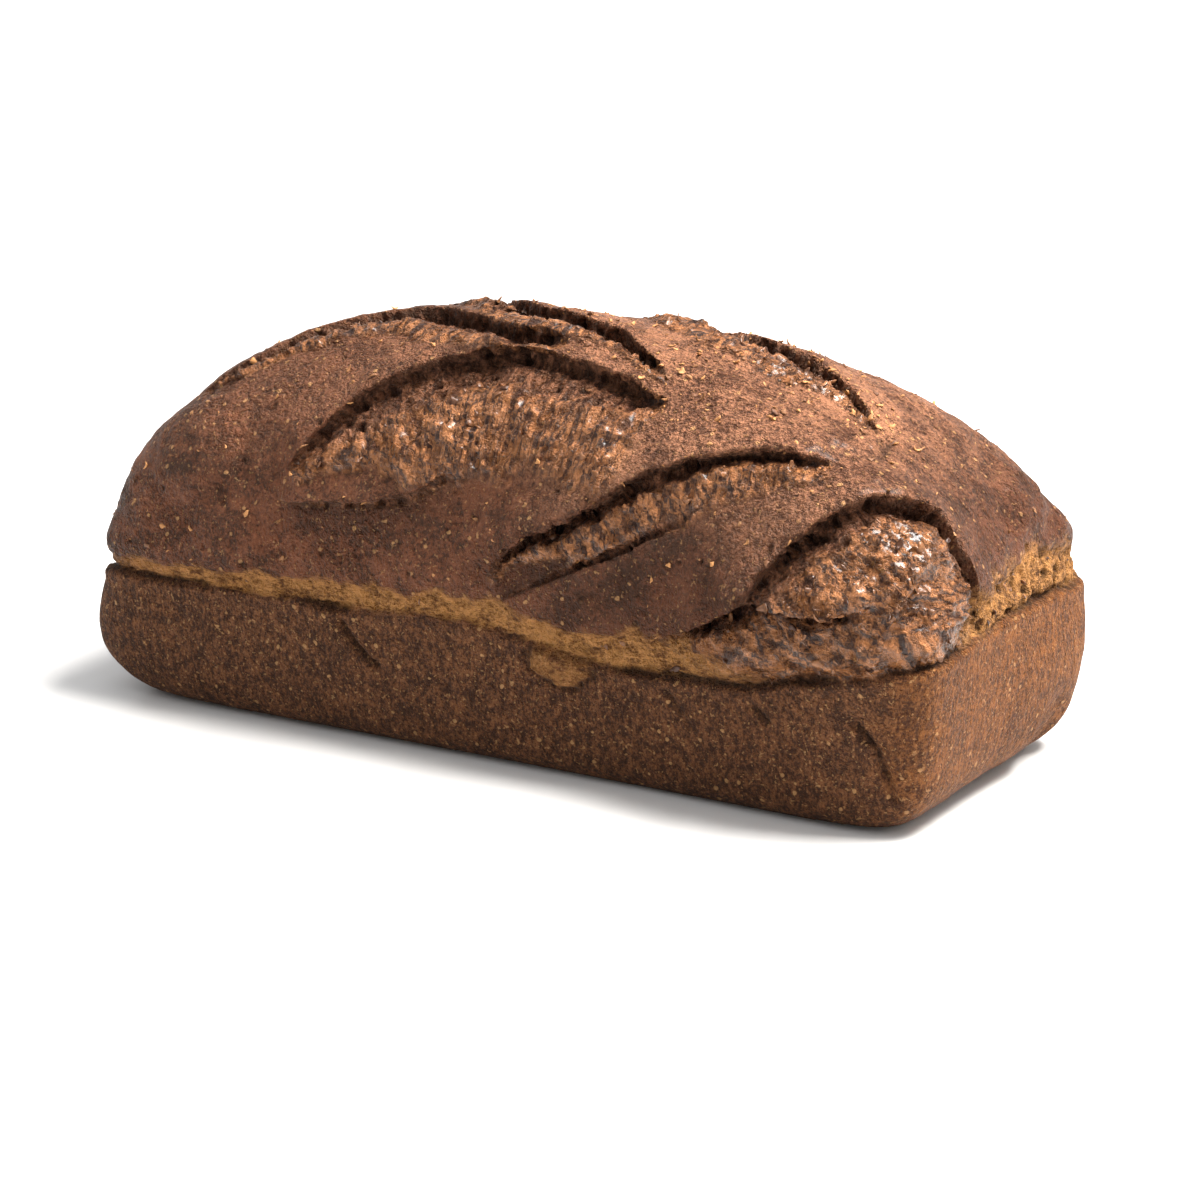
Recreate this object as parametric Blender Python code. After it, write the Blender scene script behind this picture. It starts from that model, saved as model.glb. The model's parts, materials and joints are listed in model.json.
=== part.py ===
"""A pumpernickel loaf baked in an open tin, as one solid.

The loaf has a flat base, walls pressed flat by the tin and a risen top crust that bulges over the
tin's rim. Slashes run across the top, each with a lip of crust that stands proud over a dark
groove and an opened face below it. Metres, +X along the loaf, +Z up, resting on z = 0.
"""
import math
from typing import NamedTuple

import bmesh
import bpy
from mathutils import Vector

NAME = "pumpernickel_loaf"

# The loaf's main sizes, before the swells of its corners.
HEIGHT = 0.1250
RIM_HEIGHT = 0.050
BASE_HALF_LENGTH = 0.136
RIM_HALF_LENGTH = 0.1405
BASE_HALF_WIDTH = 0.0515
RIM_HALF_WIDTH = 0.058

# The foot is rounded more at the ends, where the dough did not fill the tin's corners.
END_FOOT_RADIUS = 0.0155
SIDE_FOOT_RADIUS = 0.007

# Powers of the rounded outline: high is boxy, as the tin left it, and low is an oval.
WALL_POWER = 9.0
CREST_POWER = 2.3
DOME_FULLNESS_ALONG = 2.3
DOME_FULLNESS_ACROSS = 2.2

# The surface is unrolled about an axis along the loaf at this height, with this mean radius.
ROLL_AXIS_HEIGHT = 0.045
ROLL_RADIUS = 0.070

# Faces of the grid that the solid is made from, along, across and up.
CELLS_ALONG = 62
CELLS_ACROSS = 24
CELLS_UP = 18
# A power over 1 crowds the rows of faces towards the rounded foot.
ROW_CROWDING = 1.35
# The slashed crust above this height is relaxed once it is cut.
EASE_ABOVE = 0.030
# The spine that the grid's points are cast out from stops this far short of each end.
SPINE_SETBACK = 0.055

# Across a slash: the crests of its lip and its groove stand this far from the cut, this wide.
LIP_SETBACK = 0.0060
LIP_WIDTH = 0.0075
GROOVE_SETBACK = 0.0035
GROOVE_WIDTH = 0.0060

# The torn seam round the loaf where the dome left the tin.
SEAM_HEIGHT = 0.044
SEAM_RISE_AT_END = 0.016
SEAM_RISE_FROM = 0.095
SEAM_RISE_OVER = 0.045
SEAM_DEPTH = 0.0020
SEAM_WIDTH = 0.0045


class Swell(NamedTuple):
    """A stretch of wall that bulges: where it is round the loaf and up it, and by what share."""

    turn: float
    turn_width: float
    height: float
    height_width: float
    share: float


class Slash(NamedTuple):
    """A cut in the crust.

    Its path is a few (x in metres, turn in degrees up from the near wall) points. The opened face
    lies on the path's right when facing forward along it, or on its left where flipped is true.
    """

    path: tuple
    gape: float
    depth: float
    lip: float
    flipped: bool = False


SWELLS = (
    Swell(turn=-140.0, turn_width=45.0, height=0.018, height_width=0.0215, share=0.068),
    Swell(turn=35.0, turn_width=45.0, height=0.027, height_width=0.030, share=0.042),
)

SLASHES = (
    Slash(((-0.113, 54.0), (-0.103, 67.0), (-0.088, 77.0), (-0.058, 83.0), (-0.013, 80.0), (0.009, 79.0)),
          gape=0.014, depth=0.005, lip=0.002, flipped=True),
    Slash(((-0.068, 37.0), (-0.057, 51.0), (-0.041, 61.0), (-0.012, 69.0), (0.024, 67.0), (0.043, 64.0)),
          gape=0.030, depth=0.009, lip=0.004, flipped=True),
    Slash(((0.009, 20.0), (0.021, 29.0), (0.037, 38.0), (0.064, 50.0), (0.084, 55.0), (0.103, 58.0)),
          gape=0.026, depth=0.009, lip=0.004, flipped=True),
    Slash(((0.069, 9.0), (0.083, 23.0), (0.099, 35.0), (0.114, 50.0), (0.125, 59.0), (0.133, 58.0)),
          gape=0.030, depth=0.008, lip=0.004, flipped=True),
    Slash(((0.045, 69.0), (0.030, 77.0), (0.013, 82.0), (-0.025, 99.0), (-0.050, 120.0), (-0.062, 140.0)),
          gape=0.014, depth=0.006, lip=0.0015),
    Slash(((0.107, 72.0), (0.095, 86.0), (0.079, 96.0), (0.051, 100.0), (0.022, 115.0), (0.006, 138.0)),
          gape=0.014, depth=0.006, lip=0.0015),
)


def blend(start, end, share):
    """Return the value a share of the way from start to end, eased at both."""
    share = min(1.0, max(0.0, share))
    return start + (end - start) * share * share * (3.0 - 2.0 * share)


def bell(distance, width):
    """Return 1 at no distance, falling smoothly to nothing over about twice the width."""
    return math.exp(-((distance / width) ** 2))


def foot_inset(height, radius):
    """Return how far a wall draws in at a height, for a foot rounded to a radius."""
    lift = max(0.0, 1.0 - height / radius)
    return radius * (1.0 - math.sqrt(1.0 - lift * lift))


def dome_share(height, fullness):
    """Return the share of the rim's size that the dome keeps at a height above the rim."""
    risen = min(1.0, (height - RIM_HEIGHT) / (HEIGHT - RIM_HEIGHT))
    return (1.0 - risen ** fullness) ** (1.0 / fullness)


def section(height):
    """Return the half length, half width and corner power of the loaf's outline at a height."""
    if height <= RIM_HEIGHT:
        up = height / RIM_HEIGHT
        half_length = BASE_HALF_LENGTH + (RIM_HALF_LENGTH - BASE_HALF_LENGTH) * math.sin(up * math.pi / 2)
        half_width = BASE_HALF_WIDTH + (RIM_HALF_WIDTH - BASE_HALF_WIDTH) * up
        half_length -= foot_inset(height, END_FOOT_RADIUS)
        half_width -= foot_inset(height, SIDE_FOOT_RADIUS)
        return half_length, half_width, WALL_POWER
    risen = min(1.0, (height - RIM_HEIGHT) / (HEIGHT - RIM_HEIGHT))
    half_length = RIM_HALF_LENGTH * dome_share(height, DOME_FULLNESS_ALONG)
    half_width = RIM_HALF_WIDTH * dome_share(height, DOME_FULLNESS_ACROSS)
    return half_length, half_width, WALL_POWER + (CREST_POWER - WALL_POWER) * risen ** 0.7


def swell_factor(turn, height):
    """Return how much wider than its plain outline the loaf is, towards a compass turn in degrees."""
    factor = 1.0
    for swell in SWELLS:
        away = (turn - swell.turn + 180.0) % 360.0 - 180.0
        factor += swell.share * bell(away, swell.turn_width) * bell(height - swell.height, swell.height_width)
    return factor


def is_inside(point):
    """Say whether a point is inside the loaf's plain form, before its slashes."""
    if not 0.0 <= point.z < HEIGHT:
        return False
    half_length, half_width, power = section(point.z)
    if half_length <= 0.0 or half_width <= 0.0:
        return False
    along = point.x / half_length
    across = point.y / half_width
    factor = swell_factor(math.degrees(math.atan2(across, along)), point.z)
    return abs(along / factor) ** power + abs(across / factor) ** power < 1.0


def base_point(target):
    """Return the point of the base's rounded outline towards a target, seen from the origin."""
    half_length, half_width, power = section(0.0)
    along = target.x / half_length
    across = target.y / half_width
    factor = swell_factor(math.degrees(math.atan2(across, along)), 0.0)
    reach = (abs(along) ** power + abs(across) ** power) ** (1.0 / power)
    return Vector((target.x, target.y, 0.0)) * (factor / reach)


def cast_to_form(target):
    """Return the point of the loaf's surface towards a target, seen from the loaf's spine."""
    reach = RIM_HALF_LENGTH - SPINE_SETBACK
    start = Vector((max(-reach, min(reach, target.x * 0.7)), 0.0, ROLL_AXIS_HEIGHT))
    toward = target - start
    near, far = 0.0, 2.0
    for _ in range(32):
        middle = (near + far) / 2.0
        if is_inside(start + toward * middle):
            near = middle
        else:
            far = middle
    return start + toward * near


def unrolled(point):
    """Return a surface point in the flat chart of the crust: along the loaf, and round from the near wall."""
    turn = math.atan2(point.z - ROLL_AXIS_HEIGHT, -point.y)
    return Vector((point.x, ROLL_RADIUS * turn))


def slash_line(slash, steps=6):
    """Return a slash's path as a smooth row of points in the flat chart."""
    knots = [Vector((x, ROLL_RADIUS * math.radians(turn))) for x, turn in slash.path]
    knots = [2 * knots[0] - knots[1]] + knots + [2 * knots[-1] - knots[-2]]
    line = []
    for before, start, end, after in zip(knots, knots[1:], knots[2:], knots[3:]):
        for step in range(steps):
            t = step / steps
            bend = (2 * before - 5 * start + 4 * end - after) * t * t
            bend += (3 * start - before - 3 * end + after) * t * t * t
            line.append(start + ((end - before) * t + bend) / 2)
    line.append(knots[-2])
    return line


def place_on_line(spot, line):
    """Return how far along a line a spot is, 0 to 1, and how far to its right."""
    best = (1.0e9, 0.0, 0.0)
    last = len(line) - 1
    for index in range(last):
        run = line[index + 1] - line[index]
        share = max(0.0, min(1.0, (spot - line[index]).dot(run) / run.dot(run)))
        gap = spot - (line[index] + run * share)
        if gap.length < best[0]:
            side = math.copysign(1.0, gap.x * run.y - gap.y * run.x)
            best = (gap.length, (index + share) / last, side * gap.length)
    return best[1], best[2]


def slash_height(slash, line, spot):
    """Return how far a slash lifts (+) or cuts (-) the crust at a spot of the flat chart."""
    along, across = place_on_line(spot, line)
    if not slash.flipped:
        across = -across
    strength = math.sin(math.pi * min(1.0, max(0.0, 0.06 + 0.88 * along))) ** 0.6
    if along in (0.0, 1.0):
        strength *= bell(across, 0.008)
    lip = slash.lip * bell(across + LIP_SETBACK, LIP_WIDTH)
    groove = slash.depth * bell(across - GROOVE_SETBACK, GROOVE_WIDTH)
    opened = 0.45 * slash.lip * bell(across - slash.gape * 0.65, slash.gape * 0.35)
    return strength * (lip - groove + opened)


def seam_height(point):
    """Return the height of the torn seam below the dome at a surface point: it climbs at the +X end."""
    rise = blend(0.0, SEAM_RISE_AT_END, (point.x - SEAM_RISE_FROM) / SEAM_RISE_OVER)
    return SEAM_HEIGHT + rise + 0.002 * math.sin(point.x * 45.0 + 0.6)


def crust_height(point, lines):
    """Return how far the crust stands out from the plain form at a surface point."""
    spot = unrolled(point)
    height = sum(slash_height(slash, line, spot) for slash, line in zip(SLASHES, lines))
    height -= SEAM_DEPTH * bell(point.z - seam_height(point), SEAM_WIDTH)
    return height * blend(0.0, 1.0, (point.z - 0.020) / 0.015)


def cut_parallel(shape, axis, cells):
    """Cut every edge that runs along an axis into equal cells."""
    others = [index for index in range(3) if index != axis]
    edges = []
    for edge in shape.edges:
        run = edge.verts[1].co - edge.verts[0].co
        if abs(run[others[0]]) < 1.0e-6 and abs(run[others[1]]) < 1.0e-6:
            edges.append(edge)
    bmesh.ops.subdivide_edges(shape, edges=edges, cuts=cells - 1, use_grid_fill=True)


def grid_box():
    """Return a box in grid faces, as long, wide and tall as the loaf, with a single base face."""
    shape = bmesh.new()
    bmesh.ops.create_cube(shape, size=1.0)
    for axis, cells in enumerate((CELLS_ALONG, CELLS_ACROSS, CELLS_UP)):
        cut_parallel(shape, axis, cells)
    for vert in shape.verts:
        share_up = max(0.0, vert.co.z + 0.5)
        vert.co.x *= 2 * RIM_HALF_LENGTH
        vert.co.y *= 2 * RIM_HALF_WIDTH
        vert.co.z = HEIGHT * share_up ** ROW_CROWDING
    base_faces = [face for face in shape.faces if face.calc_center_median().z < 1.0e-6]
    bmesh.ops.dissolve_faces(shape, faces=base_faces, use_verts=False)
    return shape


def ease(shape, verts, factor, passes):
    """Relax some of a shape's points towards their neighbours."""
    for _ in range(passes):
        bmesh.ops.smooth_vert(
            shape, verts=verts, factor=factor, use_axis_x=True, use_axis_y=True, use_axis_z=True
        )


def shape_crust(shape):
    """Move a grid box's points onto the loaf's form, then raise and cut its crust along the normals."""
    base = {vert for vert in shape.verts if vert.co.z < 1.0e-6}
    for vert in shape.verts:
        vert.co = base_point(vert.co) if vert in base else cast_to_form(vert.co)
    upper = [vert for vert in shape.verts if vert not in base]
    ease(shape, upper, 0.3, passes=2)
    shape.normal_update()
    lines = [slash_line(slash) for slash in SLASHES]
    moved = {vert: vert.co + vert.normal * crust_height(vert.co, lines) for vert in upper}
    for vert, place in moved.items():
        vert.co = place
    ease(shape, [vert for vert in upper if vert.co.z > EASE_ABOVE], 0.5, passes=4)


def centre(shape):
    """Move a shape sideways so that its box is centred on the origin."""
    for axis in (0, 1):
        values = [vert.co[axis] for vert in shape.verts]
        middle = (min(values) + max(values)) / 2
        for vert in shape.verts:
            vert.co[axis] -= middle


def crust_material():
    """Return the dark baked crust's material."""
    material = bpy.data.materials.new("pumpernickel_crust")
    material.use_nodes = True
    shader = material.node_tree.nodes["Principled BSDF"]
    shader.inputs["Base Color"].default_value = (0.090, 0.040, 0.022, 1.0)
    shader.inputs["Roughness"].default_value = 0.55
    shader.inputs["Metallic"].default_value = 0.0
    return material


def build_loaf(collection):
    """Make the loaf and put it in a collection."""
    shape = grid_box()
    shape_crust(shape)
    centre(shape)
    bmesh.ops.recalc_face_normals(shape, faces=shape.faces)
    mesh = bpy.data.meshes.new(NAME)
    shape.to_mesh(mesh)
    shape.free()
    mesh.shade_smooth()
    mesh.materials.append(crust_material())
    collection.objects.link(bpy.data.objects.new(NAME, mesh))


def main():
    """Clear the scene and build the loaf in its own collection."""
    for item in list(bpy.data.objects):
        bpy.data.objects.remove(item, do_unlink=True)
    collection = bpy.data.collections.new(NAME)
    bpy.context.scene.collection.children.link(collection)
    build_loaf(collection)


main()
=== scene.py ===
"""The looks of a pumpernickel loaf baked in an open tin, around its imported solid.

The loaf is one baked body: a flat base, walls that the tin pressed flat, a torn seam where the dome
rose out of the tin, and a dark crust whose slashes opened in the oven. Metres, +X along the loaf.
"""
import json
import logging
import math
from dataclasses import dataclass, field
from enum import Enum
from typing import Callable

import bpy
import numpy as np
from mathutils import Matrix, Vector

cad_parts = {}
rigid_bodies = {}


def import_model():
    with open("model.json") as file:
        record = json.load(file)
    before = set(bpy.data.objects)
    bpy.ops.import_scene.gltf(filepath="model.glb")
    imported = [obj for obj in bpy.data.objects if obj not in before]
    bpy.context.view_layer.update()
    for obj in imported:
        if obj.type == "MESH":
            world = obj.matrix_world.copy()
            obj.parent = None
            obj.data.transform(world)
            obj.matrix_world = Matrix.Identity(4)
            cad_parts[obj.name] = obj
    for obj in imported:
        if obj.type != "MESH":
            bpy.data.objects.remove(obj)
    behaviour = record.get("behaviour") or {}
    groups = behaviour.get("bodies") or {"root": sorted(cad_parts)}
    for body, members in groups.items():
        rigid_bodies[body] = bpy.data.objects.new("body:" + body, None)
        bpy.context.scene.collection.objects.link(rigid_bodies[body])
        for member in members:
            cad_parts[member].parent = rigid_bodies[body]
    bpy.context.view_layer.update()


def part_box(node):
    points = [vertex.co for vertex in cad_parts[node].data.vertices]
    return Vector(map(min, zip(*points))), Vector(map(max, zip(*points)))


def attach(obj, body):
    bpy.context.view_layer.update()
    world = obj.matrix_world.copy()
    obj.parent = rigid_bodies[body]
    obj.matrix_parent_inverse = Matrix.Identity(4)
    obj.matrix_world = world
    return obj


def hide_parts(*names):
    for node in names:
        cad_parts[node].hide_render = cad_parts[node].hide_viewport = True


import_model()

NODE = "pumpernickel_loaf"

log = logging.getLogger("loaf")
Socket = bpy.types.NodeSocket


# ---------------------------------------------------------------------------------------------
# Numbers that vary smoothly


def ease(low: float, high: float, value: np.ndarray) -> np.ndarray:
    """Climb smoothly from 0 at one value to 1 at another.

    Args:
        low: The value where the climb starts.
        high: The value where it ends; below low, it falls instead.
        value: The values to read it at.

    Returns:
        The climb, from 0 to 1.
    """
    share = np.clip((value - low) / (high - low), 0.0, 1.0)
    return share * share * (3.0 - 2.0 * share)


def bell(distance: np.ndarray, width: float) -> np.ndarray:
    """Return 1 at no distance, falling smoothly to nothing over about twice the width."""
    return np.exp(-((distance / width) ** 2))


def unit(vectors: np.ndarray) -> np.ndarray:
    """Return vectors scaled to a length of one."""
    return vectors / np.maximum(np.linalg.norm(vectors, axis=1, keepdims=True), 1.0e-9)


@dataclass(frozen=True)
class Grain:
    """Seeded noise in space, the same at each run."""

    seed: int

    def _hash(self, cells: np.ndarray, salt: int) -> np.ndarray:
        """Return a number from 0 to 1 for each whole-numbered cell."""
        keys = cells.astype(np.int64)
        mixed = keys[..., 0] * 73856093 ^ keys[..., 1] * 19349663 ^ keys[..., 2] * 83492791
        mixed = (mixed ^ (self.seed * 2654435761 + salt * 97531)) & 0xFFFFFFFF
        mixed = ((mixed ^ (mixed >> 15)) * 2246822519) & 0xFFFFFFFF
        mixed = ((mixed ^ (mixed >> 13)) * 3266489917) & 0xFFFFFFFF
        return ((mixed ^ (mixed >> 16)) & 0xFFFFFF) / float(0xFFFFFF)

    def smooth(self, points: np.ndarray, size: float) -> np.ndarray:
        """Return soft noise.

        Args:
            points: The places, one row each.
            size: How far apart its hills stand.

        Returns:
            Values from about -1 to 1.
        """
        spot = points / size
        cell = np.floor(spot)
        part = spot - cell
        part = part * part * part * (part * (part * 6.0 - 15.0) + 10.0)
        total = np.zeros(len(points))
        for corner in np.ndindex(2, 2, 2):
            step = np.array(corner)
            weight = np.prod(np.where(step == 1, part, 1.0 - part), axis=1)
            total += weight * self._hash(cell + step, 1)
        return (total - 0.5) * 2.4

    def fractal(self, points: np.ndarray, size: float, octaves: int = 3,
                gain: float = 0.5) -> np.ndarray:
        """Return noise with finer noise on top.

        Args:
            points: The places, one row each.
            size: How far apart the largest hills stand.
            octaves: How many layers, each half the size of the one before.
            gain: Each layer's share of the one before.

        Returns:
            Values from about -1 to 1.
        """
        total = np.zeros(len(points))
        strength, reach = 1.0, 0.0
        for octave in range(octaves):
            total += strength * self.smooth(points + octave * 0.37, size / 2 ** octave)
            reach += strength
            strength *= gain
        return total / reach

    def creased(self, points: np.ndarray, size: float, octaves: int = 2) -> np.ndarray:
        """Return noise with sharp crests, from 0 in its valleys to 1 on its crests."""
        total, strength, reach = np.zeros(len(points)), 1.0, 0.0
        for octave in range(octaves):
            layer = self.smooth(points + octave * 0.51, size / 2 ** octave)
            total += strength * (1.0 - np.abs(layer))
            reach += strength
            strength *= 0.5
        return np.clip(total / reach, 0.0, 1.0) ** 2

    def pits(self, points: np.ndarray, size: float) -> np.ndarray:
        """Return the distance to the nearest scattered centre, as a share of their spacing."""
        spot = points / size
        cell = np.floor(spot)
        best = np.full(len(points), 9.0)
        for corner in np.ndindex(3, 3, 3):
            near = cell + (np.array(corner) - 1)
            centre = near + np.stack([self._hash(near, salt) for salt in (2, 3, 4)], axis=1)
            best = np.minimum(best, np.linalg.norm(spot - centre, axis=1))
        return best


# ---------------------------------------------------------------------------------------------
# The loaf's plain form, before the knife


@dataclass(frozen=True)
class Swell:
    """A stretch of wall that bulges: where it is round the loaf and up it, and by what share."""

    turn: float
    turn_width: float
    height: float
    height_width: float
    share: float


@dataclass(frozen=True)
class LoafForm:
    """The loaf's form before its slashes, with its height and its outline at each height."""

    height: float = 0.1250
    rim_height: float = 0.050
    base_half_length: float = 0.136
    rim_half_length: float = 0.1405
    base_half_width: float = 0.0515
    rim_half_width: float = 0.058
    end_foot_radius: float = 0.0155
    side_foot_radius: float = 0.007
    wall_power: float = 14.0
    crest_power: float = 2.3
    fullness_along: float = 2.3
    fullness_across: float = 2.2
    roll_height: float = 0.045
    roll_radius: float = 0.070
    spine_setback: float = 0.055
    spine_share: float = 0.7
    halvings: int = 36
    swells: tuple = (
        Swell(turn=-140.0, turn_width=45.0, height=0.018, height_width=0.0215, share=0.068),
        Swell(turn=35.0, turn_width=45.0, height=0.027, height_width=0.030, share=0.042),
    )

    def _foot(self, heights: np.ndarray, radius: float) -> np.ndarray:
        """Return how far a wall draws in at each height, for a foot rounded to a radius."""
        lift = np.maximum(0.0, 1.0 - heights / radius)
        return radius * (1.0 - np.sqrt(1.0 - np.minimum(1.0, lift) ** 2))

    def section(self, heights: np.ndarray) -> tuple:
        """Return the half length, half width and corner power of the outline at each height."""
        up = np.clip(heights / self.rim_height, 0.0, 1.0)
        risen = np.clip((heights - self.rim_height) / (self.height - self.rim_height), 0.0, 1.0)
        spread = self.rim_half_length - self.base_half_length
        wall_length = self.base_half_length + spread * np.sin(up * math.pi / 2)
        wall_width = self.base_half_width + (self.rim_half_width - self.base_half_width) * up
        wall_length = wall_length - self._foot(heights, self.end_foot_radius)
        wall_width = wall_width - self._foot(heights, self.side_foot_radius)
        along = (1.0 - risen ** self.fullness_along) ** (1.0 / self.fullness_along)
        across = (1.0 - risen ** self.fullness_across) ** (1.0 / self.fullness_across)
        power = self.wall_power + (self.crest_power - self.wall_power) * risen ** 0.7
        return wall_length * along, wall_width * across, power

    def swell_factor(self, turns: np.ndarray, heights: np.ndarray) -> np.ndarray:
        """Return how much wider than its plain outline the loaf is, towards turns in degrees."""
        factor = np.ones(len(turns))
        for swell in self.swells:
            away = (turns - swell.turn + 180.0) % 360.0 - 180.0
            beside = bell(away, swell.turn_width) * swell.share
            factor += beside * bell(heights - swell.height, swell.height_width)
        return factor

    def outlined(self, points: np.ndarray) -> np.ndarray:
        """Return each point's reach as a share of the outline at its height: under 1 is inside."""
        half_length, half_width, power = self.section(points[:, 2])
        along = points[:, 0] / np.maximum(half_length, 1.0e-6)
        across = points[:, 1] / np.maximum(half_width, 1.0e-6)
        factor = self.swell_factor(np.degrees(np.arctan2(across, along)), points[:, 2])
        return (np.abs(along / factor) ** power + np.abs(across / factor) ** power) ** (1.0 / power)

    def cast(self, targets: np.ndarray) -> np.ndarray:
        """Return the form's points towards targets, seen from a spine inside the loaf."""
        reach = self.rim_half_length - self.spine_setback
        start = np.zeros_like(targets)
        start[:, 0] = np.clip(targets[:, 0] * self.spine_share, -reach, reach)
        start[:, 2] = self.roll_height
        near, far = np.zeros(len(targets)), np.full(len(targets), 2.0)
        for _ in range(self.halvings):
            middle = (near + far) / 2.0
            spots = start + (targets - start) * middle[:, None]
            inside = (spots[:, 2] >= 0.0) & (spots[:, 2] < self.height)
            inside &= self.outlined(spots) < 1.0
            near = np.where(inside, middle, near)
            far = np.where(inside, far, middle)
        return start + (targets - start) * near[:, None]

    def turns(self, points: np.ndarray) -> np.ndarray:
        """Return each point's angle round the long axis, in radians up from the near wall."""
        return np.arctan2(points[:, 2] - self.roll_height, -points[:, 1])

    def chart(self, points: np.ndarray) -> np.ndarray:
        """Return surface points in the crust's flat chart: along it and round it."""
        reach = self.rim_half_length - self.spine_setback
        past = np.maximum(np.abs(points[:, 0]) - reach, 0.0)
        out = np.hypot(points[:, 1], points[:, 2] - self.roll_height)
        over_end = np.sign(points[:, 0]) * self.roll_radius * np.arctan2(past, out)
        along = np.clip(points[:, 0], -reach, reach) + over_end
        return np.stack([along, self.roll_radius * self.turns(points)], axis=1)

    def compass(self, points: np.ndarray) -> np.ndarray:
        """Return each point's direction from above, in degrees, with the corners at 45."""
        along, across = points[:, 0] / self.rim_half_length, points[:, 1] / self.rim_half_width
        return np.degrees(np.arctan2(across, along))


# ---------------------------------------------------------------------------------------------
# What the oven and the knife did to it


class Side(Enum):
    """Which side of a slash's path its opened face lies on, looking along the path."""

    LEFT = -1.0
    RIGHT = 1.0


@dataclass(frozen=True)
class Slash:
    """A cut in the crust: a lip that stands proud, a dark groove under it and an opened face.

    One with no gape is a fold: its lip drops straight to the skin on its lower side.
    """

    path: tuple
    opened_on: Side
    depth: float
    lip: float
    overhang: float
    gape: float = 0.0
    groove: float = 0.0095
    start_fade: float = 0.12
    end_fade: float = 0.10
    swell: float = 0.0016
    brow: float = 0.010
    narrowing: float = 0.55
    runs_out: bool = False
    margin: float = 0.034

    def line(self, form: LoafForm, steps: int = 8) -> np.ndarray:
        """Return the path as a smooth row of points in the flat chart."""
        knots = [np.array([x, form.roll_radius * math.radians(turn)]) for x, turn in self.path]
        knots = [2 * knots[0] - knots[1]] + knots + [2 * knots[-1] - knots[-2]]
        row = []
        for before, start, end, after in zip(knots, knots[1:], knots[2:], knots[3:]):
            for t in np.arange(steps) / steps:
                bend = (2 * before - 5 * start + 4 * end - after) * t * t
                bend = bend + (3 * start - before - 3 * end + after) * t * t * t
                row.append(start + ((end - before) * t + bend) / 2)
        row.append(knots[-2])
        return np.array(row)

    def calm(self, share: np.ndarray) -> np.ndarray:
        """Return how strong its lip and groove still are at shares of a path that runs out."""
        return 1.0 - 0.72 * ease(0.78, 0.93, share) if self.runs_out else np.ones(len(share))

    def near(self, spots: np.ndarray, form: LoafForm) -> np.ndarray:
        """Return which chart spots the slash can touch."""
        row, margin = self.line(form), self.gape + self.margin
        inside = (spots > row.min(axis=0) - margin) & (spots < row.max(axis=0) + margin)
        return np.nonzero(inside.all(axis=1))[0]

    def place(self, spots: np.ndarray, form: LoafForm) -> tuple:
        """Find chart spots along and across the slash.

        Args:
            spots: The places in the flat chart.
            form: The loaf's form.

        Returns:
            The share along the path, the distance along it, the distance across it, which is
            positive on the opened side, and the chart's direction towards that side.
        """
        row = self.line(form)
        lengths = np.linalg.norm(np.diff(row, axis=0), axis=1)
        starts = np.concatenate([[0.0], np.cumsum(lengths)])
        best = np.full(len(spots), 1.0e9)
        along, across = np.zeros(len(spots)), np.zeros(len(spots))
        facing = np.zeros((len(spots), 2))
        for index, length in enumerate(lengths):
            run = row[index + 1] - row[index]
            share = np.clip(((spots - row[index]) @ run) / (length * length), 0.0, 1.0)
            gap = spots - (row[index] + share[:, None] * run)
            distance = np.linalg.norm(gap, axis=1)
            side = np.sign(gap[:, 0] * run[1] - gap[:, 1] * run[0])
            closer = distance < best
            best = np.where(closer, distance, best)
            along = np.where(closer, starts[index] + share * length, along)
            across = np.where(closer, side * distance, across)
            facing[closer] = np.array([run[1], -run[0]]) / length
        flip = self.opened_on.value
        return along / starts[-1], along, across * flip, facing * flip

    def widths(self, share: np.ndarray) -> tuple:
        """Return the groove's width and the whole opening's width at shares of the path."""
        swing = ease(0.0, 0.42, share) * (1.0 - self.narrowing * ease(0.62, 1.0, share))
        band = self.groove * (0.3 + 0.7 * ease(0.0, 0.30, share))
        band = band * (1.0 - 0.9 * self.narrowing * ease(0.7, 1.0, share))
        return band, np.maximum(self.gape * (0.22 + 0.78 * swing), band * 1.1)


@dataclass(frozen=True)
class Crack:
    """A thin split or a soft fold in the skin, along a few points in space."""

    points: tuple
    width: float
    depth: float

    def distance(self, places: np.ndarray) -> np.ndarray:
        """Return how far each place is from the crack's line, counting depth into the loaf less."""
        shallow = np.array([1.0, 0.25, 1.0])
        places = places * shallow
        best = np.full(len(places), 1.0)
        for start, end in zip(self.points, self.points[1:]):
            start, end = np.array(start) * shallow, np.array(end) * shallow
            run = end - start
            share = np.clip(((places - start) @ run) / (run @ run), 0.0, 1.0)
            best = np.minimum(best, np.linalg.norm(places - start - share[:, None] * run, axis=1))
        return best


@dataclass(frozen=True)
class Lump:
    """A rounded rise or hollow in the skin."""

    centre: tuple
    radius: float
    rise: float


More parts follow.
